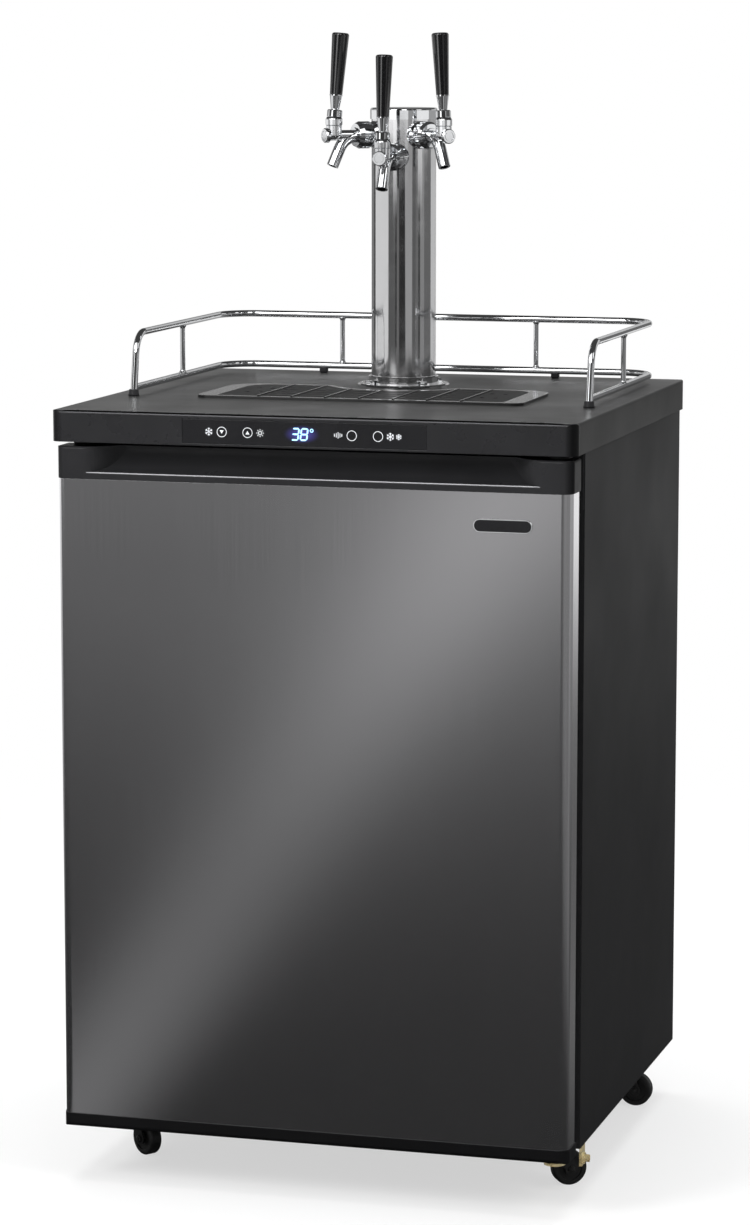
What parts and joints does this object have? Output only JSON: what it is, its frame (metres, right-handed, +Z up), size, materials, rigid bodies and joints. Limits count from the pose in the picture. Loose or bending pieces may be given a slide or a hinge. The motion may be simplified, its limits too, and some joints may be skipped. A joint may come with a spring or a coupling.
{
  "type": "cold brew coffee kegerator",
  "caption": "Free-standing keg cooler on casters with a hinged steel door, control strip, guard rail, drip tray and a tap tower for serving chilled drinks.",
  "frame": {"origin": "on the floor under the middle of the worktop", "axes": "+X to the right as seen from the front, +Y from the door to the back, +Z up"},
  "size_m": [0.6, 0.572, 1.2963],
  "materials": {
    "cabinet_paint": "matt black powder coat",
    "foam": "blown foam, hidden",
    "liner_plastic": "smooth moulded plastic",
    "worktop_plastic": "finely grained moulded plastic",
    "fascia_plastic": "satin black moulded plastic",
    "panel_plastic": "smooth black overlay",
    "chrome": "polished plating",
    "polished_steel": "polished stainless steel",
    "door_steel": "dark brushed stainless steel",
    "black_plastic": "satin black moulded plastic",
    "handle_plastic": "high gloss black",
    "seal_rubber": "soft black rubber",
    "zinc_plate": "yellow zinc plated steel",
    "compressor_paint": "black enamel",
    "copper": "drawn copper tube",
    "evaporator_aluminium": "roll-bonded plate",
    "floor_steel": "reinforcing floor plate",
    "caster_steel": "black coated steel",
    "caster_plastic": "black nylon"
  },
  "bodies": {
    "cabinet": {"cabinet_shell": "cabinet_paint", "insulation_foam": "foam", "inner_liner": "liner_plastic", "back_panel": "cabinet_paint", "base_tray": "cabinet_paint", "compressor": "compressor_paint", "drain_pan": "black_plastic", "copper_pipes": "copper", "evaporator_plate": "evaporator_aluminium", "keg_floor": "floor_steel", "gas_line_grommet": "seal_rubber", "worktop": "worktop_plastic", "control_fascia": "fascia_plastic", "control_panel": "panel_plastic", "upper_rail": "chrome", "lower_rail": "chrome", "rail_uprights": "chrome", "rail_feet": "black_plastic", "tower_base": "polished_steel", "tower_bolts": "chrome", "tower_column": "polished_steel", "tower_cap": "chrome", "tap_shanks": "chrome", "coupling_nuts": "chrome", "faucet_left": "chrome", "faucet_middle": "chrome", "faucet_right": "chrome", "bonnet_nuts": "chrome", "upper_hinge": "cabinet_paint", "lower_hinge": "zinc_plate"},
    "door": {"door_skin": "door_steel", "door_foam": "foam", "door_cap": "black_plastic", "door_bottom_trim": "black_plastic", "door_liner": "liner_plastic", "door_gasket": "seal_rubber"},
    "drip_tray": {"drip_tray": "black_plastic"},
    "drip_grille": {"drip_grille": "black_plastic"},
    "tap_lever_left": {"tap_lever_left": "chrome", "tap_handle_left": "handle_plastic"},
    "tap_plunger_left": {"tap_plunger_left": "polished_steel"},
    "tap_lever_middle": {"tap_lever_middle": "chrome", "tap_handle_middle": "handle_plastic"},
    "tap_plunger_middle": {"tap_plunger_middle": "polished_steel"},
    "tap_lever_right": {"tap_lever_right": "chrome", "tap_handle_right": "handle_plastic"},
    "tap_plunger_right": {"tap_plunger_right": "polished_steel"},
    "button_cooler": {"button_cooler": "panel_plastic"},
    "button_warmer": {"button_warmer": "panel_plastic"},
    "button_units": {"button_units": "panel_plastic"},
    "button_chill": {"button_chill": "panel_plastic"},
    "caster_fork_front_left": {"caster_fork_front_left": "caster_steel"},
    "caster_wheel_front_left": {"caster_wheel_front_left": "caster_plastic"},
    "caster_fork_front_right": {"caster_fork_front_right": "caster_steel"},
    "caster_wheel_front_right": {"caster_wheel_front_right": "caster_plastic"},
    "caster_fork_rear_left": {"caster_fork_rear_left": "caster_steel"},
    "caster_wheel_rear_left": {"caster_wheel_rear_left": "caster_plastic"},
    "caster_fork_rear_right": {"caster_fork_rear_right": "caster_steel"},
    "caster_wheel_rear_right": {"caster_wheel_rear_right": "caster_plastic"}
  },
  "joints": [
    {"name": "door_swing", "type": "hinge", "parent": "cabinet", "child": "door", "pos_m": [0.276, -0.265, 0.45], "axis": [0, 0, 1], "range_deg": [0, 120]},
    {"name": "tap_left_pull", "type": "hinge", "parent": "cabinet", "child": "tap_lever_left", "pos_m": [-0.06576, 0.03424, 1.193], "axis": [0.7071, -0.7071, 0], "range_deg": [0, 30]},
    {"name": "tap_left_plunger", "type": "slide", "parent": "cabinet", "child": "tap_plunger_left", "axis": [0.7071, 0.7071, 0], "range_m": [0, 0.0078]},
    {"name": "tap_middle_pull", "type": "hinge", "parent": "cabinet", "child": "tap_lever_middle", "pos_m": [0, 0.007, 1.168], "axis": [1, 0, 0], "range_deg": [0, 30]},
    {"name": "tap_middle_plunger", "type": "slide", "parent": "cabinet", "child": "tap_plunger_middle", "axis": [0, 1, 0], "range_m": [0, 0.0078]},
    {"name": "tap_right_pull", "type": "hinge", "parent": "cabinet", "child": "tap_lever_right", "pos_m": [0.06576, 0.03424, 1.193], "axis": [0.7071, 0.7071, 0], "range_deg": [0, 30]},
    {"name": "tap_right_plunger", "type": "slide", "parent": "cabinet", "child": "tap_plunger_right", "axis": [-0.7071, 0.7071, 0], "range_m": [0, 0.0078]},
    {"name": "button_cooler_press", "type": "slide", "parent": "cabinet", "child": "button_cooler", "axis": [0, 1, 0], "range_m": [0, 0.001], "stiffness_N_per_m": 400},
    {"name": "button_warmer_press", "type": "slide", "parent": "cabinet", "child": "button_warmer", "axis": [0, 1, 0], "range_m": [0, 0.001], "stiffness_N_per_m": 400},
    {"name": "button_units_press", "type": "slide", "parent": "cabinet", "child": "button_units", "axis": [0, 1, 0], "range_m": [0, 0.001], "stiffness_N_per_m": 400},
    {"name": "button_chill_press", "type": "slide", "parent": "cabinet", "child": "button_chill", "axis": [0, 1, 0], "range_m": [0, 0.001], "stiffness_N_per_m": 400},
    {"name": "drip_tray_lift", "type": "slide", "parent": "cabinet", "child": "drip_tray", "axis": [0, 0, 1], "range_m": [0, 0.06]},
    {"name": "drip_grille_lift", "type": "slide", "parent": "drip_tray", "child": "drip_grille", "axis": [0, 0, 1], "range_m": [0, 0.05]},
    {"name": "caster_front_left_swivel", "type": "hinge", "parent": "cabinet", "child": "caster_fork_front_left", "pos_m": [-0.25, -0.149, 0.06], "axis": [0, 0, 1], "continuous": true},
    {"name": "caster_front_left_roll", "type": "hinge", "parent": "caster_fork_front_left", "child": "caster_wheel_front_left", "pos_m": [-0.23786, -0.15782, 0.02], "axis": [0.5878, 0.809, 0], "continuous": true},
    {"name": "caster_front_right_swivel", "type": "hinge", "parent": "cabinet", "child": "caster_fork_front_right", "pos_m": [0.25, -0.149, 0.06], "axis": [0, 0, 1], "continuous": true},
    {"name": "caster_front_right_roll", "type": "hinge", "parent": "caster_fork_front_right", "child": "caster_wheel_front_right", "pos_m": [0.26272, -0.14105, 0.02], "axis": [-0.5299, 0.848, 0], "continuous": true},
    {"name": "caster_rear_left_swivel", "type": "hinge", "parent": "cabinet", "child": "caster_fork_rear_left", "pos_m": [-0.25, 0.209, 0.06], "axis": [0, 0, 1], "continuous": true},
    {"name": "caster_rear_left_roll", "type": "hinge", "parent": "caster_fork_rear_left", "child": "caster_wheel_rear_left", "pos_m": [-0.23591, 0.21413, 0.02], "axis": [-0.342, 0.9397, 0], "continuous": true},
    {"name": "caster_rear_right_swivel", "type": "hinge", "parent": "cabinet", "child": "caster_fork_rear_right", "pos_m": [0.25, 0.209, 0.06], "axis": [0, 0, 1], "continuous": true},
    {"name": "caster_rear_right_roll", "type": "hinge", "parent": "caster_fork_rear_right", "child": "caster_wheel_rear_right", "pos_m": [0.265, 0.209, 0.02], "axis": [0, 1, 0], "continuous": true}
  ],
  "couplings": [
    {"joint": "tap_left_plunger", "follows": "tap_left_pull", "m_per_rad": 0.0146},
    {"joint": "tap_middle_plunger", "follows": "tap_middle_pull", "m_per_rad": 0.0146},
    {"joint": "tap_right_plunger", "follows": "tap_right_pull", "m_per_rad": 0.0146}
  ]
}
